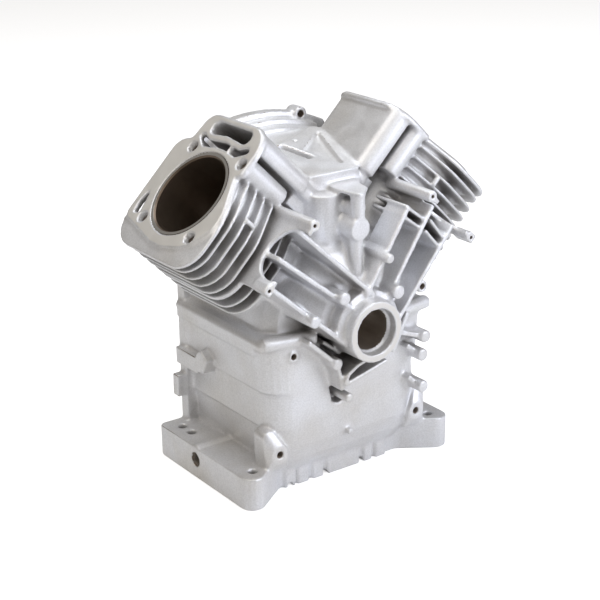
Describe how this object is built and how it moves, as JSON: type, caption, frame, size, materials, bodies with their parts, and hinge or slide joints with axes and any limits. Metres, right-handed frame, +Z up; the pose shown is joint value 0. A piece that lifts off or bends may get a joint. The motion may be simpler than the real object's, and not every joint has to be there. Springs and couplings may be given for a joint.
{
  "type": "engine block",
  "caption": "Die-cast V crankcase and cylinder block with finned cylinders, iron liners, pushrod tunnels, open rear and bolt-down feet.",
  "frame": {"origin": "centre of the crankshaft bore on the front boss face", "axes": "+X to the right seen from the front, +Y to the rear along the crankshaft, +Z up"},
  "size_m": [0.3512, 0.1905, 0.3455],
  "materials": {
    "cast_aluminium": "blasted die casting, machined deck and boss faces",
    "liner_iron": "bored, dull"
  },
  "bodies": {
    "root": {"block_casting": "cast_aluminium", "left_liner": "liner_iron", "right_liner": "liner_iron"}
  },
  "joints": []
}
